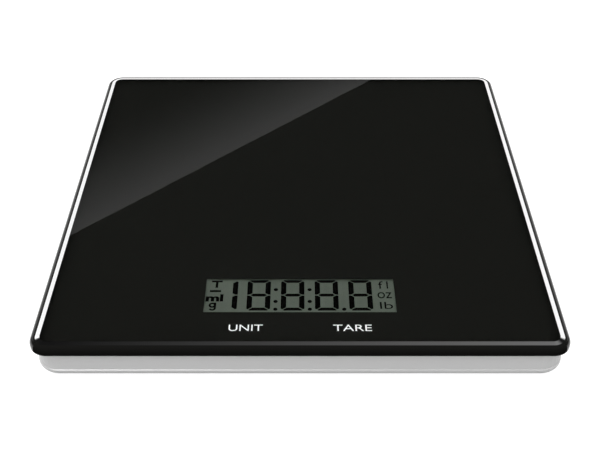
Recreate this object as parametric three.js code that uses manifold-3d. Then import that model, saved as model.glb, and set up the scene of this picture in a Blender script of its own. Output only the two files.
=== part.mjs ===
// Slim square kitchen scale: a black-printed glass platform on a silver plastic base, standing on
// four feet, each of which presses on a strain-gauge load cell inside the base.
// Millimetres. +X right, +Y to the back, +Z up; the display is at the front, on the -Y side.
// The origin is on the table, under the middle of the scale.
import * as THREE from "three";
import { mergeVertices } from "three/addons/utils/BufferGeometryUtils.js";
import Module from "manifold-3d";

const wasm = await Module();
wasm.setup();

// ---------------------------------------------------------------- driving dimensions

// Glass platform
const PLATFORM_HALF = 100;
const PLATFORM_CORNER_R = 7.2;
const GLASS_THICK = 4;
const FIELD_HALF = 96.05; // flat top inside the polished bevel
const FIELD_CORNER_R = 4.4;
const BEVEL_WIDTH = 1.75;
const BEVEL_DROP = 0.4;
const SHOULDER_DROP = 2.1; // height of the rounded shoulder outside the bevel
const SHOULDER_END = THREE.MathUtils.degToRad(65);
const ARRIS = 0.4;

// Layers between glass and base
const PRINT_THICK = 0.1;
const PRINT_INSET = 0.6; // from the platform's edge
const TAPE_THICK = 0.2;

// Base
const COVER_HALF = 98.8;
const FRAME_HALF = 98.5;
const BASE_CORNER_R = 9;
const WALL = 2.2;
const EDGE_ROUND = 3; // rounded lower edge of the bottom cover
const CREASE_BEVEL = 0.3; // small bevel at the parting line
const COVER_BOTTOM_Z = 2;
const FLOOR_THICK = 1.8;
const PARTING_Z = 5.6;
const DECK_THICK = 2;
const BASE_TOP_Z = 13.5;
const GAP = 0.3; // around the battery door, screw heads, label and battery contacts
const CLEARANCE = 0.1; // between faces that meet with no force

// Feet
const FOOT_XY = 76;
const PAD_R = 9.5;
const PAD_THICK = 1.6;
const PAD_EDGE = 0.5;
const CUP_R = 12;
const CUP_FLANGE_R = 14.5;
const CUP_FLANGE_THICK = 1.1;
const CUP_FLANGE_LIFT = 0.3; // flange above the cover's floor
const FOOT_HOLE_R = 12.6;
const STEM_R = 4; // stem that presses on the load cell's tongue

// Load cells
const CELL_HALF = 15;
const CELL_Z = 7.6;
const CELL_THICK = 1.2;
const TONGUE_HALF_WIDTH = 5;
const TONGUE_REACH = 9;
const SLOT_WIDTH = 2;
const CELL_SCREW_X = 11;
const GAUGE = { halfX: 3.5, near: 5, far: 11, thick: 0.8 }; // near and far from the tongue's middle

// Display and circuit board
const WINDOW = { halfX: 37, front: -78.3, back: -59 };
const LCD = { halfX: 40, front: -82.2, back: -55.1, z: 10.6, thick: 2.4 };
const BOARD = { halfX: 44, front: -94.5, back: -45, z: 6.2, thick: 1.2 };
const BOARD_SCREWS = { x: 41, front: -91.5, back: -48.5 };
const HOLDER = { rimX: 2, rimY: 1.5, lipX: 2, lipY: 2.5, topZ: 11.2, fit: 0.3 };
const ELASTOMER = { halfX: 36, inset: 2.8, width: 2.4 }; // inset from the display's front edge
const CHIP = { half: 6, y: -64, thick: 1.5 };
const TOUCH_KEY = { x: 20, y: -89 };
const TOUCH_HOLE_R = 3.6;
const SPRING_COIL_R = 2.5;
const SPRING_WIRE_R = 0.3;
const SPRING_TURNS = 4;
const SPRING_END_GAP = 0.4;

// Battery bay, measured from its own middle
const BAY_Y = 14;
const COIN = { radius: 10, height: 3.2, z: 4, rim: 0.5, shoulder: 1 }; // CR2032 coin cell
const BAY_HALF_X = 12.5;
const BAY_HALF_Y = 11;
const BAY_WALL = 1.5;
const BAY_CEILING_Z = 8;
const BAY_CEILING_THICK = 1;
const DOOR_HALF_X = 12.7;
const DOOR_HALF_Y = 11.9;
const DOOR_THICK = 1.2;
const DOOR_LEDGE_HALF = 10.6;
const LATCH = { halfX: 3, thick: 1, topZ: 5.2 };
const DIP = { halfX: 5, near: 1.5, far: 4, depth: 0.5 }; // fingernail dip in the door
const RIB = { outerR: 6, innerR: 4.5 }; // ring inside the door that backs the cell
const CONTACT_THICK = 0.4;
const CONTACT_HALF_Y = 2.5;
const CONTACT_X = 10.3;
const CONTACT_TOP_Z = 10.2;
const NEGATIVE_SPRING = { z: 7.5, reachX: -6 };

// Fasteners and wires
const SHANK_R = 1.2;
const PILOT_R = 1.5;
const SCREW_TIP = { radius: 0.4, taper: 1 };
// How far each tip stays below the deck, and how deep a cover screw's seat is
const COVER_SCREW = { headR: 3, headHeight: 0.9, tipDrop: 2.5, seat: 1 };
const BOARD_SCREW = { headR: 2.2, headHeight: 1, tipDrop: 1.3 };
const CELL_SCREW = { headR: 2.2, headHeight: 1.1, tipDrop: 1.3 };
const PILOT_SKIN = 0.7; // plastic left between a pilot hole and the deck
const BOSS_R = 3;
const BOARD_BOSS_R = 2.5;
const COVER_SCREWS = [
  [-50, -90],
  [50, -90],
  [-90, 0],
  [90, 0],
  [-50, 90],
  [50, 90],
];
const WIRE_R = 0.7;
const WIRE_Z = 9.9; // wires run in the space between the load cells and the deck
const SOLDER_Z = 8.6;
const SOLDER_Y = -49.5;
const LEAD_GAP = 0.4; // between the start of a lead and what it leaves
const LABEL = { halfX: 36, halfY: 17, y: -36, thick: 0.15, recess: 0.2 };

// ---------------------------------------------------------------- derived heights

const GLASS_BOTTOM_Z = BASE_TOP_Z + TAPE_THICK + PRINT_THICK;
const GLASS_TOP_Z = GLASS_BOTTOM_Z + GLASS_THICK;
const PRINT_Z = BASE_TOP_Z + TAPE_THICK;
const DECK_Z = BASE_TOP_Z - DECK_THICK;
const FLOOR_Z = COVER_BOTTOM_Z + FLOOR_THICK;
const CELL_TOP_Z = CELL_Z + CELL_THICK;
const BOARD_TOP_Z = BOARD.z + BOARD.thick;
const FLANGE_Z = FLOOR_Z + CUP_FLANGE_LIFT;
const CAVITY_HALF = FRAME_HALF - WALL;
const CAVITY_CORNER_R = BASE_CORNER_R - WALL;
const PILOT_TOP_Z = DECK_Z - PILOT_SKIN;
const CORNER_STEPS = 7;
const ROUND_STEPS = 24;
const SCREW_STEPS = 10;
const MARGIN = 1; // how far a cutter runs past the face it opens

// ---------------------------------------------------------------- materials

function finish(color, roughness, metalness) {
  return new THREE.MeshStandardMaterial({ color, roughness, metalness });
}

const MATERIALS = {
  blackGlass: finish(0x191917, 0.05, 0),
  blackPrint: finish(0x101010, 0.6, 0),
  tape: finish(0x2a2a2a, 0.8, 0),
  silverPlastic: finish(0xb7b7b7, 0.45, 0),
  greyPlastic: finish(0x8c8f91, 0.5, 0),
  liquidCrystal: finish(0x505650, 0.3, 0),
  steel: finish(0xb4b6b8, 0.35, 1),
  springSteel: finish(0xc4c2b8, 0.3, 1),
  circuitGreen: finish(0x1f5a34, 0.5, 0),
  blackResin: finish(0x161616, 0.4, 0),
  rubber: finish(0x2c2c2e, 0.9, 0),
  silicone: finish(0xd8d8d2, 0.6, 0),
  redWire: finish(0xa01c1c, 0.5, 0),
  blackWire: finish(0x1b1b1b, 0.5, 0),
  whiteWire: finish(0xd5d5d0, 0.5, 0),
  label: finish(0xc9cacb, 0.5, 0),
};

// ---------------------------------------------------------------- solids

// A closed geometry as a solid that can be joined and cut.
function solid(geometry) {
  const bare = geometry.index ? geometry.toNonIndexed() : geometry.clone();
  bare.deleteAttribute("normal");
  bare.deleteAttribute("uv");
  const merged = mergeVertices(bare, 1e-4);
  const triVerts = new Uint32Array(merged.index.array);
  const vertProperties = merged.attributes.position.array;
  return new wasm.Manifold(new wasm.Mesh({ numProp: 3, vertProperties, triVerts }));
}

// A solid back as a geometry for a mesh.
function geometryOf(manifold) {
  const { vertProperties, triVerts } = manifold.getMesh();
  const geometry = new THREE.BufferGeometry();
  geometry.setAttribute("position", new THREE.BufferAttribute(vertProperties, 3));
  geometry.setIndex(new THREE.BufferAttribute(triVerts, 1));
  const flat = geometry.toNonIndexed();
  flat.computeVertexNormals();
  return flat;
}

// The points of a square with rounded corners, anticlockwise.
function roundedSquare(half, radius) {
  const points = [];
  for (let corner = 0; corner < 4; corner += 1) {
    const start = (corner * Math.PI) / 2;
    const sx = corner === 0 || corner === 3 ? 1 : -1;
    const sy = corner < 2 ? 1 : -1;
    for (let step = 0; step <= CORNER_STEPS; step += 1) {
      const angle = start + (step / CORNER_STEPS) * (Math.PI / 2);
      const x = sx * (half - radius) + radius * Math.cos(angle);
      const y = sy * (half - radius) + radius * Math.sin(angle);
      points.push(new THREE.Vector2(x, y));
    }
  }
  return points;
}

// A solid skinned over square rings { half, radius, z }, from the lowest to the highest.
function loft(rings) {
  const loops = rings.map(({ half, radius }) => roundedSquare(half, radius));
  const count = loops[0].length;
  const positions = [];
  const triangles = [];
  loops.forEach((loop, level) => {
    loop.forEach(({ x, y }) => positions.push(x, y, rings[level].z));
  });
  for (let level = 0; level + 1 < rings.length; level += 1) {
    for (let i = 0; i < count; i += 1) {
      const a = level * count + i;
      const b = level * count + ((i + 1) % count);
      triangles.push(a, b, b + count, a, b + count, a + count);
    }
  }
  const top = (rings.length - 1) * count;
  for (let i = 1; i + 1 < count; i += 1) {
    triangles.push(0, i + 1, i);
    triangles.push(top, top + i, top + i + 1);
  }
  const geometry = new THREE.BufferGeometry();
  geometry.setAttribute("position", new THREE.Float32BufferAttribute(positions, 3));
  geometry.setIndex(triangles);
  return geometry;
}

// A box between two corners.
function box([x0, y0, z0], [x1, y1, z1]) {
  const geometry = new THREE.BoxGeometry(x1 - x0, y1 - y0, z1 - z0);
  return geometry.translate((x0 + x1) / 2, (y0 + y1) / 2, (z0 + z1) / 2);
}

// An upright cylinder.
function post(x, y, z0, z1, radius, steps = SCREW_STEPS) {
  const geometry = new THREE.CylinderGeometry(radius, radius, z1 - z0, steps);
  return geometry.rotateX(Math.PI / 2).translate(x, y, (z0 + z1) / 2);
}

// A round piece from its outline [radius, z], standing on the Z axis at (x, y).
function turned(outline, x, y, steps = ROUND_STEPS) {
  const points = outline.map(([radius, z]) => new THREE.Vector2(radius, z));
  const geometry = new THREE.LatheGeometry(points, steps);
  return geometry.rotateX(Math.PI / 2).translate(x, y, 0);
}

// An outline in the XZ plane [x, z], extruded along Y between -halfY and halfY.
function extrudedAlongY(outline, halfY, y) {
  const shape = new THREE.Shape(outline.map(([x, z]) => new THREE.Vector2(x, z)));
  const geometry = new THREE.ExtrudeGeometry(shape, { depth: 2 * halfY, bevelEnabled: false });
  return geometry.rotateX(Math.PI / 2).translate(0, y + halfY, 0);
}

// A wire or a spring: a six-sided section swept along a curve.
function swept(curve, radius, steps) {
  const section = new THREE.Shape();
  section.absarc(0, 0, radius, 0, 2 * Math.PI, false);
  return new THREE.ExtrudeGeometry(section, {
    steps,
    curveSegments: 3, // points per half turn of the section
    bevelEnabled: false,
    extrudePath: curve,
  });
}

function joined(first, ...others) {
  return others.reduce((whole, other) => whole.add(solid(other)), first);
}

function cut(first, ...cutters) {
  return cutters.reduce((whole, cutter) => whole.subtract(solid(cutter)), first);
}

const root = new THREE.Group();

function addMesh(name, geometry, material) {
  const mesh = new THREE.Mesh(geometry, material);
  mesh.name = name;
  root.add(mesh);
}

// ---------------------------------------------------------------- platform

// The radius of the platform's ring at a given inset from its edge.
function platformRadius(half) {
  const inset = (PLATFORM_HALF - half) / (PLATFORM_HALF - FIELD_HALF);
  return THREE.MathUtils.lerp(PLATFORM_CORNER_R, FIELD_CORNER_R, inset);
}

// Vertical edge, rounded shoulder, shallow polished bevel and flat top.
function glassPlatform() {
  const bevelHalf = FIELD_HALF + BEVEL_WIDTH;
  const shoulderWidth = PLATFORM_HALF - bevelHalf;
  const shoulderZ = GLASS_TOP_Z - BEVEL_DROP - SHOULDER_DROP;
  const ellipseX = shoulderWidth / (1 - Math.cos(SHOULDER_END));
  const ellipseZ = SHOULDER_DROP / Math.sin(SHOULDER_END);
  const profile = [
    [PLATFORM_HALF - ARRIS, GLASS_BOTTOM_Z],
    [PLATFORM_HALF, GLASS_BOTTOM_Z + ARRIS],
  ];
  const shoulderSteps = 5;
  for (let step = 0; step <= shoulderSteps; step += 1) {
    const angle = (step / shoulderSteps) * SHOULDER_END;
    const half = PLATFORM_HALF - ellipseX * (1 - Math.cos(angle));
    profile.push([half, shoulderZ + ellipseZ * Math.sin(angle)]);
  }
  profile.push([FIELD_HALF, GLASS_TOP_Z]);
  return loft(profile.map(([half, z]) => ({ half, radius: platformRadius(half), z })));
}

function windowCutter(margin, z0, z1) {
  return box(
    [-WINDOW.halfX - margin, WINDOW.front - margin, z0],
    [WINDOW.halfX + margin, WINDOW.back + margin, z1],
  );
}

function touchHoles(z0, z1) {
  return [-1, 1].map((side) => post(side * TOUCH_KEY.x, TOUCH_KEY.y, z0, z1, TOUCH_HOLE_R));
}

function sheet(half, z0, z1) {
  const radius = platformRadius(half);
  return solid(loft([{ half, radius, z: z0 }, { half, radius, z: z1 }]));
}

// Black ceramic print under the glass, open only over the display.
function backPrint() {
  const printed = sheet(PLATFORM_HALF - PRINT_INSET, PRINT_Z, GLASS_BOTTOM_Z);
  return geometryOf(cut(printed, windowCutter(0, PRINT_Z - MARGIN, GLASS_BOTTOM_Z + MARGIN)));
}

// Double-sided tape that bonds the glass to the base, clear of the display and touch springs.
function mountingTape() {
  const tape = sheet(CAVITY_HALF, BASE_TOP_Z, PRINT_Z);
  const low = BASE_TOP_Z - MARGIN;
  const high = PRINT_Z + MARGIN;
  return geometryOf(cut(tape, windowCutter(MARGIN, low, high), ...touchHoles(low, high)));
}

// ---------------------------------------------------------------- base

// The four corner places of the feet and load cells, with their names.
function corners() {
  const places = [];
  for (const [side, sx] of [["left", -1], ["right", 1]]) {
    for (const [end, sy] of [["front", -1], ["back", 1]]) {
      places.push({ name: `${end}_${side}`, sx, sy, x: sx * FOOT_XY, y: sy * FOOT_XY });
    }
  }
  return places;
}

function cellScrewPlaces() {
  return corners().flatMap(({ x, y }) => [[x - CELL_SCREW_X, y], [x + CELL_SCREW_X, y]]);
}

function boardScrewPlaces() {
  const { x, front, back } = BOARD_SCREWS;
  return [[-x, front], [x, front], [-x, back], [x, back]];
}

// Upper shell: side walls and a deck under the glass, with the bosses that take every screw.
function upperFrame() {
  const radius = BASE_CORNER_R;
  const shell = solid(loft([
    { half: FRAME_HALF, radius, z: PARTING_Z },
    { half: FRAME_HALF, radius, z: BASE_TOP_Z - ARRIS },
    { half: FRAME_HALF - ARRIS, radius: radius - ARRIS, z: BASE_TOP_Z },
  ]));
  const cavity = loft([
    { half: CAVITY_HALF, radius: CAVITY_CORNER_R, z: PARTING_Z - MARGIN },
    { half: CAVITY_HALF, radius: CAVITY_CORNER_R, z: DECK_Z },
  ]);
  const deckOverlap = DECK_Z + MARGIN;
  const coverBossZ = FLOOR_Z + CLEARANCE;
  const bosses = [
    ...COVER_SCREWS.map(([x, y]) => post(x, y, coverBossZ, deckOverlap, BOSS_R)),
    ...boardScrewPlaces().map(([x, y]) => post(x, y, BOARD_TOP_Z, deckOverlap, BOARD_BOSS_R)),
    ...cellScrewPlaces().map(([x, y]) => post(x, y, CELL_TOP_Z, deckOverlap, BOSS_R)),
  ];
  const pilots = [...COVER_SCREWS, ...boardScrewPlaces(), ...cellScrewPlaces()].map(
    ([x, y]) => post(x, y, COVER_BOTTOM_Z, PILOT_TOP_Z, PILOT_R),
  );
  const displayOpening = box(
    [-LCD.halfX - MARGIN, LCD.front - MARGIN, DECK_Z - MARGIN],
    [LCD.halfX + MARGIN, LCD.back + MARGIN, BASE_TOP_Z + MARGIN],
  );
  const keyHoles = touchHoles(DECK_Z - MARGIN, BASE_TOP_Z + MARGIN);
  const hollow = cut(shell, cavity);
  return geometryOf(cut(joined(hollow, ...bosses), ...pilots, displayOpening, ...keyHoles));
}

// Quarter-round lower edge, straight rim and the small bevel at the parting line.
function coverTray() {
  const rings = [];
  const edgeSteps = 5;
  for (let step = 0; step <= edgeSteps; step += 1) {
    const angle = (step / edgeSteps) * (Math.PI / 2);
    const inset = EDGE_ROUND * (1 - Math.sin(angle));
    const z = COVER_BOTTOM_Z + EDGE_ROUND * (1 - Math.cos(angle));
    rings.push({ half: COVER_HALF - inset, radius: BASE_CORNER_R - inset, z });
  }
  rings.push({ half: COVER_HALF, radius: BASE_CORNER_R, z: PARTING_Z - CREASE_BEVEL });
  const top = { half: COVER_HALF - CREASE_BEVEL, radius: BASE_CORNER_R - CREASE_BEVEL };
  rings.push({ ...top, z: PARTING_Z });
  return solid(loft(rings));
}

// The walled box over the battery, part of the bottom cover.
function batteryBay() {
  const outerX = BAY_HALF_X + BAY_WALL;
  const outerY = BAY_HALF_Y + BAY_WALL;
  const top = BAY_CEILING_Z + BAY_CEILING_THICK;
  return box([-outerX, BAY_Y - outerY, FLOOR_Z - MARGIN], [outerX, BAY_Y + outerY, top]);
}

// Everything the battery bay is cut out by: its inside, door seat, latch and contact slots.
function bayCutters() {
  const seatX = DOOR_HALF_X + GAP;
  const seatY = DOOR_HALF_Y + GAP;
  const seatTop = COVER_BOTTOM_Z + DOOR_THICK + CLEARANCE;
  const lip = DOOR_LEDGE_HALF;
  const inside = box(
    [-BAY_HALF_X, BAY_Y - BAY_HALF_Y, FLOOR_Z],
    [BAY_HALF_X, BAY_Y + BAY_HALF_Y, BAY_CEILING_Z],
  );
  const seat = box(
    [-seatX, BAY_Y - seatY, COVER_BOTTOM_Z - MARGIN],
    [seatX, BAY_Y + seatY, seatTop],
  );
  const throat = box([-lip, BAY_Y - lip, COVER_BOTTOM_Z], [lip, BAY_Y + lip, FLOOR_Z + MARGIN]);
  const latchX = LATCH.halfX + GAP;
  const latchFront = BAY_Y - seatY - GAP; // room for the finger's arc as the door opens
  const latchSlot = box(
    [-latchX, latchFront, seatTop],
    [latchX, BAY_Y - BAY_HALF_Y + MARGIN, LATCH.topZ + MARGIN],
  );
  const slots = [-1, 1].map((side) => {
    const near = CONTACT_X - GAP;
    const far = CONTACT_X + CONTACT_THICK + GAP;
    const [x0, x1] = side < 0 ? [-far, -near] : [near, far];
    const halfY = CONTACT_HALF_Y + GAP;
    const z1 = BAY_CEILING_Z + BAY_CEILING_THICK + MARGIN;
    return box([x0, BAY_Y - halfY, BAY_CEILING_Z - MARGIN], [x1, BAY_Y + halfY, z1]);
  });
  return [inside, seat, throat, latchSlot, ...slots];
}

// Lower shell: the tray with its foot holes, screw seats, battery bay and label recess.
function bottomCover() {
  const inside = loft([
    { half: CAVITY_HALF, radius: CAVITY_CORNER_R, z: FLOOR_Z },
    { half: CAVITY_HALF, radius: CAVITY_CORNER_R, z: PARTING_Z + MARGIN },
  ]);
  const low = COVER_BOTTOM_Z - MARGIN;
  const high = FLOOR_Z + MARGIN;
  const footHoles = corners().map(({ x, y }) => post(x, y, low, high, FOOT_HOLE_R, ROUND_STEPS));
  const screwSeats = COVER_SCREWS.flatMap(([x, y]) => [
    post(x, y, low, COVER_BOTTOM_Z + COVER_SCREW.seat, COVER_SCREW.headR + GAP),
    post(x, y, low, high, PILOT_R),
  ]);
  const labelRecess = box(
    [-LABEL.halfX - GAP, LABEL.y - LABEL.halfY - GAP, low],
    [LABEL.halfX + GAP, LABEL.y + LABEL.halfY + GAP, COVER_BOTTOM_Z + LABEL.recess],
  );
  const tray = cut(coverTray(), inside);
  const withBay = joined(tray, batteryBay());
  return geometryOf(cut(withBay, ...bayCutters(), ...footHoles, ...screwSeats, labelRecess));
}

function ratingLabel() {
  const top = COVER_BOTTOM_Z + LABEL.recess;
  return box(
    [-LABEL.halfX, LABEL.y - LABEL.halfY, top - LABEL.thick],
    [LABEL.halfX, LABEL.y + LABEL.halfY, top],
  );
}

// ---------------------------------------------------------------- fasteners

// A pan-head screw driven upwards: its head is at the bottom, with a cross recess.
function screw(x, y, seatZ, { headR, headHeight, tipDrop }) {
  const tipZ = DECK_Z - tipDrop;
  const blank = turned(
    [
      [0, seatZ - headHeight],
      [headR * 0.85, seatZ - headHeight],
      [headR, seatZ - headHeight * 0.7],
      [headR, seatZ],
      [SHANK_R, seatZ],
      [SHANK_R, tipZ - SCREW_TIP.taper],
      [SCREW_TIP.radius, tipZ],
      [0, tipZ],
    ],
    x,
    y,
    SCREW_STEPS,
  );
  const armLong = headR * 0.55;
  const armThin = 0.3;
  const recessTop = seatZ - headHeight * 0.45;
  const low = seatZ - headHeight - MARGIN;
  const arms = [
    [armLong, armThin],
    [armThin, armLong],
  ].map(([dx, dy]) => box([x - dx, y - dy, low], [x + dx, y + dy, recessTop]));
  return geometryOf(cut(solid(blank), ...arms));
}

function addScrews() {
  COVER_SCREWS.forEach(([x, y], i) => {
    const shape = screw(x, y, COVER_BOTTOM_Z + COVER_SCREW.seat, COVER_SCREW);
    addMesh(`cover_screw_${i + 1}`, shape, MATERIALS.steel);
  });
  boardScrewPlaces().forEach(([x, y], i) => {
    const shape = screw(x, y, BOARD.z, BOARD_SCREW);
    addMesh(`board_screw_${i + 1}`, shape, MATERIALS.steel);
  });
  cellScrewPlaces().forEach(([x, y], i) => {
    const shape = screw(x, y, CELL_Z, CELL_SCREW);
    addMesh(`load_cell_screw_${i + 1}`, shape, MATERIALS.steel);
  });
}

// ---------------------------------------------------------------- feet and load cells

function footCup(x, y) {
  const flangeTop = FLANGE_Z + CUP_FLANGE_THICK;
  return turned(
    [
      [0, PAD_THICK],
      [CUP_R - PAD_EDGE, PAD_THICK],
      [CUP_R, PAD_THICK + PAD_EDGE],
      [CUP_R, FLANGE_Z],
      [CUP_FLANGE_R, FLANGE_Z],
      [CUP_FLANGE_R, flangeTop],
      [STEM_R, flangeTop],
      [STEM_R, CELL_Z],
      [0, CELL_Z],
    ],
    x,
    y,
  );
}

function footPad(x, y) {
  const outline = [
    [0, 0],
    [PAD_R - PAD_EDGE, 0],
    [PAD_R, PAD_EDGE],
    [PAD_R, PAD_THICK],
    [0, PAD_THICK],
  ];
  return turned(outline, x, y);
}

// A stamped plate whose middle tongue bends when the foot's stem presses on it.
// The tongue's root faces the middle of the scale.
function loadCell(x, y, inward) {
  const plate = solid(
    box([x - CELL_HALF, y - CELL_HALF, CELL_Z], [x + CELL_HALF, y + CELL_HALF, CELL_TOP_Z]),
  );
  const low = CELL_Z - MARGIN;
  const high = CELL_TOP_Z + MARGIN;
  const outerX = TONGUE_HALF_WIDTH + SLOT_WIDTH;
  const freeEnd = y - inward * (TONGUE_REACH + SLOT_WIDTH);
  const tongueEnd = y - inward * TONGUE_REACH;
  const rootEnd = y + inward * TONGUE_REACH;
  const span = (a, b) => [Math.min(a, b), Math.max(a, b)];
  const [endLow, endHigh] = span(freeEnd, tongueEnd);
  const [sideLow, sideHigh] = span(freeEnd, rootEnd);
  const endSlot = box([x - outerX, endLow, low], [x + outerX, endHigh, high]);
  const sideSlots = [-1, 1].map((side) => {
    const [x0, x1] = span(x + side * TONGUE_HALF_WIDTH, x + side * outerX);
    return box([x0, sideLow, low], [x1, sideHigh, high]);
  });
  const holes = [-1, 1].map((side) => post(x + side * CELL_SCREW_X, y, low, high, PILOT_R));
  return geometryOf(cut(plate, endSlot, ...sideSlots, ...holes));
}

// The silicone cap over the strain gauges, on the root of the tongue.
function gaugeCap(x, y, inward) {
  const ends = [y + inward * GAUGE.near, y + inward * GAUGE.far].sort((a, b) => a - b);
  return box(
    [x - GAUGE.halfX, ends[0], CELL_TOP_Z],
    [x + GAUGE.halfX, ends[1], CELL_TOP_Z + GAUGE.thick],
  );
}

function wire(points, steps) {
  const curve = new THREE.CatmullRomCurve3(points.map(([x, y, z]) => new THREE.Vector3(x, y, z)));
  return swept(curve, WIRE_R, steps);
}

// From the gauge cap, under the deck, to the back edge of the circuit board.
function cellLead(sx, sy) {
  const start = [sx * FOOT_XY, sy * (FOOT_XY - GAUGE.far - LEAD_GAP), WIRE_Z];
  if (sy > 0) {
    return wire(
      [
        start,
        [sx * 70, 54, WIRE_Z],
        [sx * 60, 24, WIRE_Z],
        [sx * 48, -12, WIRE_Z],
        [sx * 34, -37, WIRE_Z - 0.3],
        [sx * 28, SOLDER_Y, SOLDER_Z],
      ],
      22,
    );
  }
  return wire(
    [
      start,
      [sx * 69, -54, WIRE_Z],
      [sx * 56, -44, WIRE_Z],
      [sx * 43, -40, WIRE_Z - 0.2],
      [sx * 36.5, -42.5, WIRE_Z - 0.6],
      [sx * 35, SOLDER_Y, SOLDER_Z],
    ],
    16,
  );
}

function addCorner({ name, sx, sy, x, y }) {
  addMesh(`foot_pad_${name}`, footPad(x, y), MATERIALS.rubber);
  addMesh(`foot_cup_${name}`, footCup(x, y), MATERIALS.greyPlastic);
  addMesh(`load_cell_${name}`, loadCell(x, y, -sy), MATERIALS.springSteel);
  addMesh(`strain_gauge_cap_${name}`, gaugeCap(x, y, -sy), MATERIALS.silicone);
  addMesh(`load_cell_lead_${name}`, cellLead(sx, sy), MATERIALS.whiteWire);
}

// ---------------------------------------------------------------- display and circuit board

function lcdPanel() {
  return box(
    [-LCD.halfX, LCD.front, LCD.z],
    [LCD.halfX, LCD.back, LCD.z + LCD.thick],
  );
}

// The frame that stands on the board, carries the display and keeps the contact strip upright.
function lcdHolder() {
  const { rimX, rimY, lipX, lipY, topZ, fit } = HOLDER;
  const outer = box(
    [-LCD.halfX - rimX, LCD.front - rimY, BOARD_TOP_Z],
    [LCD.halfX + rimX, LCD.back + rimY, topZ],
  );
  const well = box(
    [-LCD.halfX + lipX, LCD.front + lipY, BOARD_TOP_Z - MARGIN],
    [LCD.halfX - lipX, LCD.back - lipY, topZ + MARGIN],
  );
  const seat = box(
    [-LCD.halfX - fit, LCD.front - fit, LCD.z],
    [LCD.halfX + fit, LCD.back + fit, topZ + MARGIN],
  );
  return geometryOf(cut(solid(outer), well, seat));
}

// Striped elastomer that joins the display's glass pads to the board.
function contactStrip() {
  const { halfX, inset, width } = ELASTOMER;
  const y = LCD.front + inset;
  return box([-halfX, y, BOARD_TOP_Z], [halfX, y + width, LCD.z]);
}

function circuitBoard() {
  const board = solid(
    box([-BOARD.halfX, BOARD.front, BOARD.z], [BOARD.halfX, BOARD.back, BOARD_TOP_Z]),
  );
  const holes = boardScrewPlaces().map(([x, y]) =>
    post(x, y, BOARD.z - MARGIN, BOARD_TOP_Z + MARGIN, PILOT_R),
  );
  return geometryOf(cut(board, ...holes));
}

function controllerChip() {
  const { half, y, thick } = CHIP;
  return box([-half, y - half, BOARD.z - thick], [half, y + half, BOARD.z]);
}

// A coil spring from the board up to the glass, which senses a finger over it.
function touchSpring(x) {
  const z0 = BOARD_TOP_Z + SPRING_END_GAP;
  const z1 = PRINT_Z - SPRING_END_GAP;
  const helix = new THREE.Curve();
  helix.getPoint = (t, target = new THREE.Vector3()) => {
    const angle = 2 * Math.PI * SPRING_TURNS * t;
    return target.set(
      x + SPRING_COIL_R * Math.cos(angle),
      TOUCH_KEY.y + SPRING_COIL_R * Math.sin(angle),
      THREE.MathUtils.lerp(z0, z1, t),
    );
  };
  const stepsPerTurn = 10;
  return swept(helix, SPRING_WIRE_R, SPRING_TURNS * stepsPerTurn);
}

function addDisplay() {
  addMesh("lcd_panel", lcdPanel(), MATERIALS.liquidCrystal);
  addMesh("lcd_holder", lcdHolder(), MATERIALS.greyPlastic);
  addMesh("contact_strip", contactStrip(), MATERIALS.silicone);
  addMesh("circuit_board", circuitBoard(), MATERIALS.circuitGreen);
  addMesh("controller_chip", controllerChip(), MATERIALS.blackResin);
  addMesh("unit_touch_spring", touchSpring(-TOUCH_KEY.x), MATERIALS.springSteel);
  addMesh("tare_touch_spring", touchSpring(TOUCH_KEY.x), MATERIALS.springSteel);
}

// ---------------------------------------------------------------- battery

// Coin cell with the narrower negative face on top.
function batteryCell() {
  const { radius, height, z, rim, shoulder } = COIN;
  const outline = [
    [0, z],
    [radius, z],
    [radius, z + height - rim],
    [radius - shoulder, z + height],
    [0, z + height],
  ];
  return turned(outline, 0, BAY_Y, ROUND_STEPS);
}

// Upright leaf against the rim of the cell, with a solder tab above the bay.
function positiveContact() {
  const near = -CONTACT_X;
  const far = near - CONTACT_THICK;
  const outline = [
    [far, COIN.z + GAP],
    [near, COIN.z + GAP],
    [near, CONTACT_TOP_Z],
    [far, CONTACT_TOP_Z],
  ];
  return extrudedAlongY(outline, CONTACT_HALF_Y, BAY_Y);
}

// Flat spring over the cell's top face, turned up into a solder tab.
function negativeContact() {
  const { z, reachX } = NEGATIVE_SPRING;
  const near = CONTACT_X;
  const far = CONTACT_X + CONTACT_THICK;
  const outline = [
    [reachX, z],
    [far, z],
    [far, CONTACT_TOP_Z],
    [near, CONTACT_TOP_Z],
    [near, z + CONTACT_THICK],
    [reachX, z + CONTACT_THICK],
  ];
  return extrudedAlongY(outline, CONTACT_HALF_Y, BAY_Y);
}

function batteryLead(side) {
  const x = side * (CONTACT_X + CONTACT_THICK / 2);
  return wire(
    [
      [x, BAY_Y - CONTACT_HALF_Y - LEAD_GAP, WIRE_Z],
      [side * 10, -10, WIRE_Z],
      [side * 8, -38, WIRE_Z - 0.3],
      [side * 7, SOLDER_Y, SOLDER_Z],
    ],
    14,
  );
}

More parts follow.
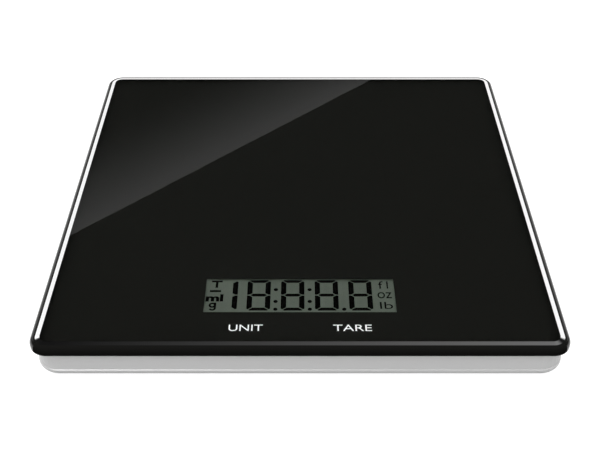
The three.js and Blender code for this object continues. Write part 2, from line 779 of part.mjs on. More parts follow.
// Flush door with a latch finger at the front, a fingernail dip and a rib that backs the cell.
function batteryDoor() {
  const top = COVER_BOTTOM_Z + DOOR_THICK;
  const front = BAY_Y - DOOR_HALF_Y;
  const panel = box([-DOOR_HALF_X, front, COVER_BOTTOM_Z], [DOOR_HALF_X, BAY_Y + DOOR_HALF_Y, top]);
  const latch = box(
    [-LATCH.halfX, front, top - GAP],
    [LATCH.halfX, front + LATCH.thick, LATCH.topZ],
  );
  const ribTop = COIN.z - GAP;
  const rib = post(0, BAY_Y, top - GAP, ribTop, RIB.outerR, ROUND_STEPS);
  const ribHole = post(0, BAY_Y, top, ribTop + MARGIN, RIB.innerR, ROUND_STEPS);
  const dip = box(
    [-DIP.halfX, front + DIP.near, COVER_BOTTOM_Z - MARGIN],
    [DIP.halfX, front + DIP.far, COVER_BOTTOM_Z + DIP.depth],
  );
  return geometryOf(cut(joined(solid(panel), latch, rib), ribHole, dip));
}

function addBattery() {
  addMesh("battery_door", batteryDoor(), MATERIALS.silverPlastic);
  addMesh("battery_cell", batteryCell(), MATERIALS.steel);
  addMesh("battery_positive_contact", positiveContact(), MATERIALS.springSteel);
  addMesh("battery_negative_contact", negativeContact(), MATERIALS.springSteel);
  addMesh("battery_positive_lead", batteryLead(-1), MATERIALS.redWire);
  addMesh("battery_negative_lead", batteryLead(1), MATERIALS.blackWire);
}

// ---------------------------------------------------------------- assembly

addMesh("glass_platform", glassPlatform(), MATERIALS.blackGlass);
addMesh("back_print", backPrint(), MATERIALS.blackPrint);
addMesh("mounting_tape", mountingTape(), MATERIALS.tape);
addMesh("upper_frame", upperFrame(), MATERIALS.silverPlastic);
addMesh("bottom_cover", bottomCover(), MATERIALS.silverPlastic);
addMesh("rating_label", ratingLabel(), MATERIALS.label);
addScrews();
corners().forEach(addCorner);
addDisplay();
addBattery();

export default root;
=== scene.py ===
import math

import bmesh
import bpy
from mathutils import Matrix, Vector


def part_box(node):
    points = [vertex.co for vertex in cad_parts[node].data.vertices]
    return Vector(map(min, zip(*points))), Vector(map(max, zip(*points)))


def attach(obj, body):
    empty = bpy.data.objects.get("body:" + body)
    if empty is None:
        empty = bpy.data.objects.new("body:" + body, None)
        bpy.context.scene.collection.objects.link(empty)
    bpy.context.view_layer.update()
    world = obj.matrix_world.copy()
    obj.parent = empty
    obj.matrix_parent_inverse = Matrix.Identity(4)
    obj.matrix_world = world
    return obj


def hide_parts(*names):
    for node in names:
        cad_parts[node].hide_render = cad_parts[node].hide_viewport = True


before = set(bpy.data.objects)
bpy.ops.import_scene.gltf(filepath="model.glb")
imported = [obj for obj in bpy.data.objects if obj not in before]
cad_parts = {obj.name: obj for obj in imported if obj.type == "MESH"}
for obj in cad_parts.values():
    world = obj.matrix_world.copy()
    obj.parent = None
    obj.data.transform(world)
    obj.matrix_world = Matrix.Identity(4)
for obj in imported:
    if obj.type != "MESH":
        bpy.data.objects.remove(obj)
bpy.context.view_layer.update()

# The looks of a slim square kitchen scale with a black-printed glass platform, round its CAD frame.
# Lengths are in millimetres until a mesh or a place is made, and in metres in Blender.
MM = 0.001
HOUSING = "housing"

# ------------------------------------------------------------------ places, from the frame


def box_mm(node):
    """The lowest and highest corner of a CAD node, in millimetres."""
    low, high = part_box(node)
    return low / MM, high / MM


GLASS_LOW, GLASS_HIGH = box_mm("glass_platform")
COVER_LOW, COVER_HIGH = box_mm("bottom_cover")
PRINT_LOW, PRINT_HIGH = box_mm("back_print")
LCD_LOW, LCD_HIGH = box_mm("lcd_panel")

# Glass platform
FIELD_INSET = 3.95  # from the edge to the flat field
BEVEL_WIDTH = 1.68
BEVEL_DROP = 0.3
LAND_WIDTH = 0.55  # narrow flat land between the bevel and the rounded shoulder
LAND_DROP = 0.03
SHOULDER_DROP = 2.2
SHOULDER_STEPS = 12
PLATE_SHARP_ANGLE = 9
BACK_RIM_NORMAL = 0.45  # faces of the back edge that look up more than this take the edge copy without reflection, as painted shade
PLATFORM_CORNER_R = 7.2
FIELD_CORNER_R = 3.2
ARRIS = 0.4

# Base
BASE_CORNER_R = 9.0
EDGE_ROUND = 3.0
EDGE_STEPS = 12
CREASE = 0.3
PARTING_RISE = 3.6  # from the cover's underside to the parting line
FLOOR_THICK = 1.8
CAVITY_HALF = 96.3
CAVITY_CORNER_R = 6.8

# Feet and cover screws
FOOT_XY = 76.0
FOOT_HOLE_R = 12.6
SCREW_POCKET_R = 3.3
SCREW_POCKET_DEPTH = 1.0
SCREW_POCKET_STEPS = 48
SCREW_HOLE_R = 1.5
SCREW_HOLE_STEPS = 32
COVER_SCREWS = [(-50, -90), (50, -90), (-90, 0), (90, 0), (-50, 90), (50, 90)]

# Battery bay, its door and the label's recess
BAY_Y = 14.0
BAY_HALF = (12.5, 11.0)
BAY_WALL = 1.5
BAY_ROOF = 1.0
BAY_CEILING_Z = 8.0
DOOR_HALF = (12.7, 11.9)
DOOR_THICK = 1.2
DOOR_CLEARANCE = 0.1
GAP = 0.3
LEDGE_HALF = 10.6
LATCH_HALF_X = 3.0
LATCH_TOP_Z = 5.2
CONTACT_X = (10.3, 10.7)
CONTACT_HALF_Y = 2.5
LABEL_HALF = (36.0, 17.0)
LABEL_Y = -36.0
LABEL_RECESS = 0.2

# Display window in the print, and what the LCD shows
WINDOW_HALF_X = 37.0
WINDOW_FRONT = -78.3
WINDOW_BACK = -59.0
PRINT_RISE = 0.015  # how far the fused print reaches into the glass
LEGEND_RISE = 0.012
LEGEND_Y = -86.8
LEGENDS = {"UNIT": (-20.4, 12.8), "TARE": (19.7, 14.5)}  # word: (middle x, width)
LEGEND_HEIGHT = 3.35

CORNER_STEPS = 16  # along each corner of the glass, the print and the base
SMALL_ROUND_STEPS = 6  # along each corner of a small rounded rectangle
ROUND_STEPS = 96  # round a circle
CUT_SPARE = 1.0  # how far a cutter passes a face it opens
CUT_LAP = 0.5  # the same, where less room is left
MEETING_LAP = 0.01  # overlap of two cutters that meet at a face
SAME_PLACE = 0.01  # heights closer than this count as the same

# ------------------------------------------------------------------ outlines


def rectangle(x0, y0, x1, y1):
    return [(x0, y0), (x1, y0), (x1, y1), (x0, y1)]


def around(x, y, half_x, half_y):
    """A rectangle from its middle and half sizes."""
    return rectangle(x - half_x, y - half_y, x + half_x, y + half_y)


def rounded_rectangle(x, y, half_x, half_y, radius, steps=SMALL_ROUND_STEPS):
    """A rectangle from its middle and half sizes, with rounded corners, anticlockwise."""
    points = []
    for corner, (sx, sy) in enumerate([(1, 1), (-1, 1), (-1, -1), (1, -1)]):
        for step in range(steps + 1):
            angle = (corner + step / steps) * math.pi / 2
            px = x + sx * (half_x - radius) + radius * math.cos(angle)
            points.append((px, y + sy * (half_y - radius) + radius * math.sin(angle)))
    return points


def circle(x, y, radius, steps=ROUND_STEPS):
    angles = [2 * math.pi * i / steps for i in range(steps)]
    return [(x + radius * math.cos(a), y + radius * math.sin(a)) for a in angles]


# ------------------------------------------------------------------ mesh helpers


def new_object(name, bm, materials, sharp_angle=30):
    """A mesh object in metres from a bmesh in millimetres."""
    bmesh.ops.recalc_face_normals(bm, faces=bm.faces)
    bmesh.ops.scale(bm, vec=(MM, MM, MM), verts=bm.verts)
    mesh = bpy.data.meshes.new(name)
    bm.to_mesh(mesh)
    bm.free()
    for material in materials:
        mesh.materials.append(material)
    obj = bpy.data.objects.new(name, mesh)
    bpy.context.scene.collection.objects.link(obj)
    smooth(obj, sharp_angle)
    return obj


def smooth(obj, sharp_angle=30):
    """Shades rounded places smooth, keeps edges sharp and leaves large flat faces flat."""
    obj.data.shade_smooth()
    obj.data.set_sharp_from_angle(angle=math.radians(sharp_angle))
    modifier = obj.modifiers.get("flat_faces") or obj.modifiers.new("flat_faces", "WEIGHTED_NORMAL")
    modifier.keep_sharp = True
    modifier.weight = 100


def loft(name, rings, materials, slots=None, caps=(0, 0), sharp_angle=30):
    """Skins square rings (half, radius, z), lowest first. slots gives a material for each band."""
    bm = bmesh.new()
    loops = []
    for half, radius, z in rings:
        outline = rounded_rectangle(0, 0, half, half, radius, CORNER_STEPS)
        loops.append([bm.verts.new((x, y, z)) for x, y in outline])
    count = len(loops[0])
    for level, (low, high) in enumerate(zip(loops, loops[1:])):
        for i in range(count):
            j = (i + 1) % count
            face = bm.faces.new((low[i], low[j], high[j], high[i]))
            face.material_index = slots[level] if slots else 0
    bm.faces.new(list(reversed(loops[0]))).material_index = caps[0]
    bm.faces.new(loops[-1]).material_index = caps[1]
    return new_object(name, bm, materials, sharp_angle)


def turned(name, outline, x, y, materials, steps=ROUND_STEPS):
    """A round solid from its outline (radius, z), from the axis back to the axis."""
    bm = bmesh.new()
    rows = []
    for radius, z in outline:
        if radius == 0:
            rows.append([bm.verts.new((x, y, z))])
            continue
        ring = circle(x, y, radius, steps)
        rows.append([bm.verts.new((px, py, z)) for px, py in ring])
    for low, high in zip(rows, rows[1:]):
        for i in range(steps):
            j = (i + 1) % steps
            below = [low[i % len(low)], low[j % len(low)]]
            above = [high[j % len(high)], high[i % len(high)]]
            bm.faces.new(list(dict.fromkeys(below + above)))
    return new_object(name, bm, materials)


def prism_into(bm, outline, z0, z1):
    """An upright prism over an outline (x, y), anticlockwise."""
    low = [bm.verts.new((x, y, z0)) for x, y in outline]
    high = [bm.verts.new((x, y, z1)) for x, y in outline]
    bm.faces.new(list(reversed(low)))
    bm.faces.new(high)
    count = len(outline)
    for i in range(count):
        j = (i + 1) % count
        bm.faces.new((low[i], low[j], high[j], high[i]))


def boolean(obj, cutter, operation="DIFFERENCE"):
    """Joins or cuts obj by cutter, applies it and removes the cutter."""
    modifier = obj.modifiers.new("cut", "BOOLEAN")
    modifier.operation = operation
    modifier.solver = "EXACT"
    modifier.object = cutter
    graph = bpy.context.evaluated_depsgraph_get()
    mesh = bpy.data.meshes.new_from_object(obj.evaluated_get(graph))
    obj.modifiers.remove(modifier)
    old = obj.data
    obj.data = mesh
    mesh.name = old.name
    bpy.data.meshes.remove(old)
    bpy.data.objects.remove(cutter)
    smooth(obj)


def cutter_of(outlines):
    """One cutter of separate upright prisms [(outline, z0, z1), ...]."""
    bm = bmesh.new()
    for outline, z0, z1 in outlines:
        prism_into(bm, outline, z0, z1)
    return new_object("cutter", bm, [])


def keep(obj, replaced=(), body=HOUSING):
    """Finishes a piece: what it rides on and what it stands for."""
    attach(obj, body)
    if replaced:
        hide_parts(*replaced)
    return obj


# ------------------------------------------------------------------ material helpers


def math_node(tree, operation, *values):
    """A maths node fed by numbers and sockets."""
    node = tree.nodes.new("ShaderNodeMath")
    node.operation = operation
    for socket, value in zip(node.inputs, values):
        if isinstance(value, (int, float)):
            socket.default_value = value
        else:
            tree.links.new(value, socket)
    return node.outputs[0]


def range_node(tree, value, limits, ends=(0.0, 1.0), kind="LINEAR"):
    """value spread from its limits to the ends, and held there."""
    node = tree.nodes.new("ShaderNodeMapRange")
    node.interpolation_type = kind
    names = ("From Min", "From Max", "To Min", "To Max")
    for name, number in zip(names, (*limits, *ends)):
        node.inputs[name].default_value = number
    tree.links.new(value, node.inputs["Value"])
    return node.outputs["Result"]


class Paint:
    """A Principled material with short calls for the nodes that give it its detail."""

    def __init__(self, name, color, roughness, metallic=0.0, **numbers):
        self.material = bpy.data.materials.new(name)
        self.material.use_nodes = True
        self.nodes = self.material.node_tree.nodes
        self.links = self.material.node_tree.links
        self.bsdf = self.nodes["Principled BSDF"]
        self.bsdf.inputs["Base Color"].default_value = (*color, 1)
        self.bsdf.inputs["Roughness"].default_value = roughness
        self.bsdf.inputs["Metallic"].default_value = metallic
        for socket, value in numbers.items():
            self.bsdf.inputs[socket.replace("_", " ")].default_value = value
        self.place = self.nodes.new("ShaderNodeTexCoord").outputs["Object"]

    def stretched(self, scale):
        """The place on the object, stretched along its axes."""
        mapping = self.nodes.new("ShaderNodeMapping")
        mapping.inputs["Scale"].default_value = scale
        self.links.new(self.place, mapping.inputs["Vector"])
        return mapping.outputs["Vector"]

    def noise(self, size_mm, detail=3.0, roughness=0.55, vector=None):
        node = self.nodes.new("ShaderNodeTexNoise")
        node.inputs["Scale"].default_value = 1 / (size_mm * MM)
        node.inputs["Detail"].default_value = detail
        node.inputs["Roughness"].default_value = roughness
        self.links.new(vector or self.place, node.inputs["Vector"])
        return node.outputs["Fac"]

    def cells(self, size_mm, feature="F1", vector=None):
        node = self.nodes.new("ShaderNodeTexVoronoi")
        node.feature = feature
        node.inputs["Scale"].default_value = 1 / (size_mm * MM)
        self.links.new(vector or self.place, node.inputs["Vector"])
        return node.outputs["Distance"]

    def ranged(self, value, low, high, start=0.0, end=1.0):
        """value from start..end spread to low..high."""
        return range_node(self.material.node_tree, value, (start, end), (low, high))

    def mixed(self, factor, first, second):
        node = self.nodes.new("ShaderNodeMix")
        node.data_type = "RGBA"
        node.inputs["A"].default_value = (*first, 1)
        node.inputs["B"].default_value = (*second, 1)
        self.links.new(factor, node.inputs["Factor"])
        return node.outputs["Result"]

    def color(self, value):
        self.links.new(value, self.bsdf.inputs["Base Color"])

    def roughness(self, value):
        self.links.new(value, self.bsdf.inputs["Roughness"])

    def bump(self, height, depth_mm, strength=1.0):
        node = self.nodes.new("ShaderNodeBump")
        node.inputs["Distance"].default_value = depth_mm * MM
        node.inputs["Strength"].default_value = strength
        self.links.new(height, node.inputs["Height"])
        self.links.new(node.outputs["Normal"], self.bsdf.inputs["Normal"])


def shade(color, factor):
    return tuple(min(1.0, c * factor) for c in color)


def clear_glass():
    """Polished toughened glass with a trace of green that varies a little across the melt."""
    color = (0.94, 0.97, 0.96)
    paint = Paint("clear_glass", color, 0.0, IOR=1.5, Transmission_Weight=1.0)
    melt = paint.noise(30, detail=3, vector=paint.stretched((1, 0.35, 1)))
    paint.color(paint.mixed(melt, shade(color, 0.985), shade(color, 1.01)))
    return paint.material


def polished_bevel():
    """The ground and polished bevel, which mirrors its surroundings."""
    color = (0.97, 0.97, 0.97)
    paint = Paint("polished_bevel", color, 0.04, 1.0)
    lines = paint.noise(0.6, detail=2)
    paint.roughness(paint.ranged(lines, 0.03, 0.07))
    paint.color(paint.mixed(lines, color, shade(color, 0.97)))
    return paint.material


def black_edge(name, specular, roughness):
    """The side of the glass, where the black print shows through the ground edge."""
    color = (0.0052, 0.0052, 0.0048)
    paint = Paint(name, color, roughness, Specular_IOR_Level=specular)
    grain = paint.noise(0.35, detail=4)
    paint.roughness(paint.ranged(grain, roughness * 0.75, roughness * 1.25))
    paint.color(paint.mixed(grain, shade(color, 0.9), shade(color, 1.1)))
    return paint.material


def black_print():
    """Ceramic print fused to the glass: black with a very fine screen grain."""
    color = (0.0133, 0.0133, 0.0116)
    paint = Paint("black_ceramic_print", color, 0.6, Specular_IOR_Level=0.0)
    grain = paint.noise(0.12, detail=2)
    paint.color(paint.mixed(grain, shade(color, 0.92), shade(color, 1.08)))
    paint.bump(grain, 0.002)
    return paint.material


def white_ink_painted_glow():
    # White ink with a painted glow. Its emission stands in for light, so that it reads white under
    # the little light that reaches it through the glass.
    color = (0.80, 0.80, 0.80)
    paint = Paint("white_ink_painted_glow", color, 0.5, Emission_Strength=0.42)
    paint.bsdf.inputs["Emission Color"].default_value = (1, 1, 1, 1)
    grain = paint.noise(0.1, detail=2)
    paint.color(paint.mixed(grain, shade(color, 0.94), color))
    return paint.material


def satin_plastic(name, color, roughness=0.42):
    """Moulded ABS with a fine spark-eroded grain."""
    paint = Paint(name, color, roughness)
    grain = paint.cells(0.22)
    tone = paint.noise(14, detail=4)
    paint.color(paint.mixed(tone, shade(color, 0.985), shade(color, 1.015)))
    paint.roughness(paint.ranged(tone, roughness - 0.05, roughness + 0.05))
    paint.bump(grain, 0.006)
    return paint.material


def liquid_crystal():
    """The reflective grey-green background of the display, behind its polarizer film."""
    color = (0.120, 0.134, 0.112)
    paint = Paint("liquid_crystal", color, 0.3, Specular_IOR_Level=0.0)
    grain = paint.noise(0.16, detail=2)
    tone = paint.noise(18, detail=2)
    paint.color(paint.mixed(grain, shade(color, 0.9), shade(color, 1.1)))
    paint.roughness(paint.ranged(tone, 0.26, 0.36))
    return paint.material


def segment_ink():
    color = (0.0008, 0.0008, 0.0008)
    paint = Paint("segment_black", color, 0.5, Specular_IOR_Level=0.0)
    grain = paint.noise(0.2, detail=2)
    paint.color(paint.mixed(grain, color, shade(color, 1.5)))
    return paint.material


def steel(name, color, roughness, stretch=(1, 14, 1)):
    """Plated or rolled steel with a drawn grain."""
    paint = Paint(name, color, roughness, 1.0)
    grain = paint.noise(0.8, detail=5, vector=paint.stretched(stretch))
    spots = paint.noise(3, detail=3)
    paint.color(paint.mixed(spots, shade(color, 0.9), shade(color, 1.06)))
    paint.roughness(paint.ranged(grain, roughness - 0.08, roughness + 0.1))
    paint.bump(grain, 0.004)
    return paint.material


def rubber():
    color = (0.022, 0.022, 0.023)
    paint = Paint("foot_rubber", color, 0.8, Specular_IOR_Level=0.3)
    grain = paint.noise(0.25, detail=4)
    dust = paint.noise(4, detail=5)
    paint.color(paint.mixed(dust, shade(color, 0.85), shade(color, 1.5)))
    paint.roughness(paint.ranged(grain, 0.7, 0.9))
    paint.bump(grain, 0.02)
    return paint.material


def silicone():
    color = (0.66, 0.66, 0.63)
    paint = Paint("silicone", color, 0.45, Subsurface_Weight=0.1, Subsurface_Scale=0.001)
    lumps = paint.noise(1.2, detail=3)
    paint.color(paint.mixed(lumps, shade(color, 0.93), color))
    paint.bump(lumps, 0.03)
    return paint.material


def circuit_laminate():
    """Solder mask over copper tracks: lighter where the copper lies under it."""
    mask, copper = (0.012, 0.085, 0.032), (0.03, 0.16, 0.06)
    paint = Paint("circuit_laminate", mask, 0.3)
    tracks = paint.cells(3.2, feature="DISTANCE_TO_EDGE")
    lines = paint.ranged(tracks, 1, 0, 0.06, 0.1)
    weave = paint.noise(0.4, detail=2)
    paint.color(paint.mixed(lines, mask, copper))
    paint.roughness(paint.ranged(weave, 0.24, 0.36))
    paint.bump(lines, 0.03)
    return paint.material


def black_resin():
    color = (0.012, 0.012, 0.012)
    paint = Paint("black_resin", color, 0.35)
    skin = paint.noise(0.5, detail=3)
    paint.color(paint.mixed(skin, shade(color, 0.8), shade(color, 1.3)))
    paint.roughness(paint.ranged(skin, 0.28, 0.45))
    paint.bump(skin, 0.01)
    return paint.material


def insulation(name, color):
    paint = Paint(name, color, 0.45)
    skin = paint.noise(0.6, detail=3)
    paint.color(paint.mixed(skin, shade(color, 0.88), shade(color, 1.05)))
    paint.bump(skin, 0.01)
    return paint.material


def foam_tape():
    color = (0.05, 0.05, 0.05)
    paint = Paint("foam_tape", color, 0.85)
    pores = paint.cells(0.3)
    paint.color(paint.mixed(pores, shade(color, 0.7), shade(color, 1.2)))
    paint.bump(pores, 0.04)
    return paint.material


def label_film():
    color = (0.52, 0.53, 0.54)
    paint = Paint("label_film", color, 0.4)
    fibre = paint.noise(0.5, detail=4, vector=paint.stretched((1, 6, 1)))
    paint.color(paint.mixed(fibre, shade(color, 0.96), shade(color, 1.03)))
    paint.roughness(paint.ranged(fibre, 0.34, 0.46))
    return paint.material


def studio_floor():
    """A matt light table, lit faintly from within."""
    color = (0.28, 0.28, 0.28)
    paint = Paint("studio_floor", color, 0.9, Specular_IOR_Level=0.0, Emission_Strength=0.86)
    paint.material.cycles.emission_sampling = "NONE"
    paint.bsdf.inputs["Emission Color"].default_value = (1, 1, 1, 1)
    tone = paint.noise(60, detail=3)
    paint.color(paint.mixed(tone, shade(color, 0.995), color))
    return paint.material


SILVER = satin_plastic("silver_abs", (0.475, 0.475, 0.475))
WORN_CREASE = satin_plastic("silver_abs_worn_crease", (0.475, 0.475, 0.475), 0.2)
GREY = satin_plastic("grey_abs", (0.24, 0.25, 0.26), 0.5)
SCREW_STEEL = steel("zinc_plated_steel", (0.60, 0.61, 0.62), 0.34, (6, 6, 1))
SPRING_STEEL = steel("nickel_plated_steel", (0.66, 0.64, 0.58), 0.28)
RUBBER = rubber()
SILICONE = silicone()
LAMINATE = circuit_laminate()
RESIN = black_resin()

# ------------------------------------------------------------------ glass platform


def platform_radius(inset):
    share = inset / FIELD_INSET
    return PLATFORM_CORNER_R + (FIELD_CORNER_R - PLATFORM_CORNER_R) * share


def platform_glass():
    """The glass plate: clear faces, black ground edge, rounded shoulder and polished bevel."""
    half = GLASS_HIGH.x
    top = GLASS_HIGH.z
    land_z = top - BEVEL_DROP
    shoulder_width = FIELD_INSET - BEVEL_WIDTH - LAND_WIDTH
    shoulder_z = land_z - LAND_DROP - SHOULDER_DROP
    profile = [(ARRIS, GLASS_LOW.z), (0.0, GLASS_LOW.z + ARRIS)]
    for step in range(SHOULDER_STEPS + 1):
        angle = math.pi / 2 * step / SHOULDER_STEPS
        inset = shoulder_width * (1 - math.cos(angle))
        profile.append((inset, shoulder_z + SHOULDER_DROP * math.sin(angle)))
    profile.append((FIELD_INSET - BEVEL_WIDTH, land_z))
    profile.append((FIELD_INSET, top))
    rings = [(half - inset, platform_radius(inset), z) for inset, z in profile]
    clear, edge, bevel, painted_shade_edge = 0, 1, 2, 3
    slots = [edge] * (len(rings) - 3) + [painted_shade_edge, bevel]
    materials = [
        clear_glass(),
        black_edge("black_glass_edge", 0.5, 0.1),
        polished_bevel(),
        black_edge("black_glass_painted_shade_edge", 0.0, 0.35),
    ]
    plate = loft("platform_glass", rings, materials, slots, (clear, clear), PLATE_SHARP_ANGLE)
    # Painted shade: faces of the edge that face the front, and faces of the back rim that look up,
    # get a copy of the black edge that reflects nothing, so they stay darker than the sides.
    for face in plate.data.polygons:
        faces_front = face.normal.y < -abs(face.normal.x)
        tops_back = face.normal.y > abs(face.normal.x) and face.normal.z > BACK_RIM_NORMAL
        if face.material_index == edge and (faces_front or tops_back):
            face.material_index = painted_shade_edge
    sharpen_border(plate, bevel)
    return keep(plate, ["glass_platform"])


def sharpen_border(obj, slot):
    """Makes the border of the faces in one material slot sharp, so that they shade flat."""
    bm = bmesh.new()
    bm.from_mesh(obj.data)
    for line in bm.edges:
        kinds = {face.material_index for face in line.link_faces}
        if slot in kinds and len(kinds) > 1:
            line.smooth = False
    bm.to_mesh(obj.data)
    bm.free()


def printed_layer():
    """The black print, open over the display, its top fused into the glass."""
    inset = GLASS_HIGH.x - PRINT_HIGH.x
    radius = platform_radius(inset)
    half = PRINT_HIGH.x
    layer = loft(
        "black_print",
        [(half, radius, PRINT_LOW.z), (half, radius, PRINT_HIGH.z + PRINT_RISE)],
        [black_print()],
    )
    window = rectangle(-WINDOW_HALF_X, WINDOW_FRONT, WINDOW_HALF_X, WINDOW_BACK)
    boolean(layer, cutter_of([(window, PRINT_LOW.z - CUT_SPARE, PRINT_HIGH.z + CUT_SPARE)]))
    return keep(layer, ["back_print"])


def lettering_into(bm, text, x0, y0, x1, y1, z0, z1, bold=0.0):
    """A word in the plain built-in typeface, as prisms that fill the given rectangle."""
    curve = bpy.data.curves.new("lettering", "FONT")
    curve.body = text
    curve.offset = bold
    curve.extrude = 0.5
    source = bpy.data.objects.new("lettering", curve)
    bpy.context.scene.collection.objects.link(source)
    graph = bpy.context.evaluated_depsgraph_get()
    mesh = bpy.data.meshes.new_from_object(source.evaluated_get(graph))
    xs = [v.co.x for v in mesh.vertices]
    ys = [v.co.y for v in mesh.vertices]
    for v in mesh.vertices:
        v.co.x = x0 + (v.co.x - min(xs)) / (max(xs) - min(xs)) * (x1 - x0)
        v.co.y = y0 + (v.co.y - min(ys)) / (max(ys) - min(ys)) * (y1 - y0)
        v.co.z = z1 if v.co.z > 0 else z0
    letters = bmesh.new()
    letters.from_mesh(mesh)
    bmesh.ops.remove_doubles(letters, verts=letters.verts, dist=0.001)
    letters.to_mesh(mesh)
    letters.free()
    bm.from_mesh(mesh)
    bpy.data.objects.remove(source)
    bpy.data.curves.remove(curve)
    bpy.data.meshes.remove(mesh)


def key_legends():
    """The words over the two touch areas, in white ink at the underside of the glass."""
    bm = bmesh.new()
    z0 = PRINT_HIGH.z + PRINT_RISE - LEGEND_RISE
    z1 = PRINT_HIGH.z + PRINT_RISE + LEGEND_RISE
    for word, (x, width) in LEGENDS.items():
        low, high = LEGEND_Y - LEGEND_HEIGHT / 2, LEGEND_Y + LEGEND_HEIGHT / 2
        lettering_into(bm, word, x - width / 2, low, x + width / 2, high, z0, z1)
    return keep(new_object("key_legends", bm, [white_ink_painted_glow()]))


# ------------------------------------------------------------------ display

DIGIT_W = 9.2
DIGIT_H = 17.5
DIGIT_PITCH = 13.25
DIGIT_Y = -76.6  # foot of the digits
WHOLE_DIGITS = 4
FIRST_DIGIT_X = -16.1  # middle of the first whole digit
LEADING_ONE_SHIFT = 0.4  # from its place in the pitch
UPRIGHT = 2.1  # width of an upright bar
LEVEL = 1.6  # height of a level bar
SIDE_GAP = 0.252  # the gap between two bars, measured along one axis
CORNER_CUT = 1.1
MITRE_SLOPE = LEVEL / UPRIGHT
MITRE_X = CORNER_CUT / (1 + MITRE_SLOPE)
UPRIGHT_TIP = 0.45  # where the tip of a bar lies, as a share of an upright bar's width
MIDDLE_TIP = 0.5
DOT_R = 0.85
DOT_STEPS = 24
POINT_RISE = 0.75  # from the foot of the digits
COLON_RISES = (5.1, 11.9)
SEGMENT_RISE = 0.02

# left, foot, right, top
MINUS_SIGN = (-35.4, -66.1, -31.0, -65.0)
TARE_SIGN = [(-35.0, -60.4, -30.7, -59.4), (-33.35, -63.6, -32.35, -60.4)]

# text, left, foot, right, top, boldness
UNIT_SIGNS = [
    ("ml", -36.7, -71.5, -29.9, -67.4, 0.045),
    ("f", 30.9, -64.1, 32.8, -59.8, 0.0),
    ("l", 34.2, -64.1, 34.75, -59.8, 0.0),
    ("oz", 30.3, -69.7, 35.9, -66.2, 0.0),
    ("lb", 30.9, -75.7, 35.9, -71.8, 0.0),
]


def arc(x, y, radius_x, radius_y, start, end, steps):
    """Points along part of an ellipse, from one angle to another in degrees."""
    angles = [math.radians(start + (end - start) * i / steps) for i in range(steps + 1)]
    return [(x + radius_x * math.cos(a), y + radius_y * math.sin(a)) for a in angles]


# The gram sign as one drawn line: bowl, stem and tail.
GRAM_SIGN = (
    arc(-33.9, -73.6, 1.0, 1.05, 0, 360, 16)
    + [(-32.8, -72.3), (-32.8, -75.2)]
    + arc(-33.8, -75.3, 1.0, 0.95, 0, -150, 8)
)
GRAM_HALF_WIDTH = 0.4
STROKE_LAP = 0.4  # how far each piece of a line passes its ends, as a share of its half width


def stroke(start, end, half_width):
    """One straight piece of a drawn line, as an outline anticlockwise."""
    start, end = Vector(start), Vector(end)
    along = (end - start).normalized() * half_width
    across = Vector((-along.y, along.x))
    first, last = start - along * STROKE_LAP, end + along * STROKE_LAP
    return [tuple(p) for p in (first - across, last - across, last + across, first + across)]


def mirrored(points, width=None, height=None):
    """The outline flipped left to right about width, or top to bottom about height."""
    if width is not None:
        points = [(width - x, y) for x, y in points]
    if height is not None:
        points = [(x, height - y) for x, y in points]
    return points


def upright_segment():
    """The upper left bar of a digit whose foot is at (0, 0)."""
    middle = DIGIT_H / 2
    return [
        (0, middle + SIDE_GAP),
        (UPRIGHT * UPRIGHT_TIP, middle + SIDE_GAP),
        (UPRIGHT, middle + LEVEL / 2 + SIDE_GAP),
        (UPRIGHT, DIGIT_H - LEVEL - SIDE_GAP),
        (MITRE_X, DIGIT_H - MITRE_X * MITRE_SLOPE - SIDE_GAP),
        (0, DIGIT_H - CORNER_CUT),
    ]


def level_segment():
    """The top bar of a digit whose foot is at (0, 0)."""
    left = [
        (CORNER_CUT, DIGIT_H),
        (MITRE_X + SIDE_GAP, DIGIT_H - MITRE_X * MITRE_SLOPE),
        (UPRIGHT + SIDE_GAP, DIGIT_H - LEVEL),
    ]
    return left + list(reversed(mirrored(left, width=DIGIT_W)))


def middle_segment():
    """The middle bar of a digit whose foot is at (0, 0)."""
    middle = DIGIT_H / 2
    left = [
        (UPRIGHT + SIDE_GAP, middle + LEVEL / 2),
        (UPRIGHT * MIDDLE_TIP + SIDE_GAP, middle),
        (UPRIGHT + SIDE_GAP, middle - LEVEL / 2),
    ]
    return left + list(reversed(mirrored(left, width=DIGIT_W)))


def digit_outlines():
    """All seven bars of a digit."""
    bar, top = upright_segment(), level_segment()
    right = mirrored(bar, width=DIGIT_W)
    return [
        bar,
        right,
        mirrored(bar, height=DIGIT_H),
        mirrored(right, height=DIGIT_H),
        top,
        mirrored(top, height=DIGIT_H),
        middle_segment(),
    ]


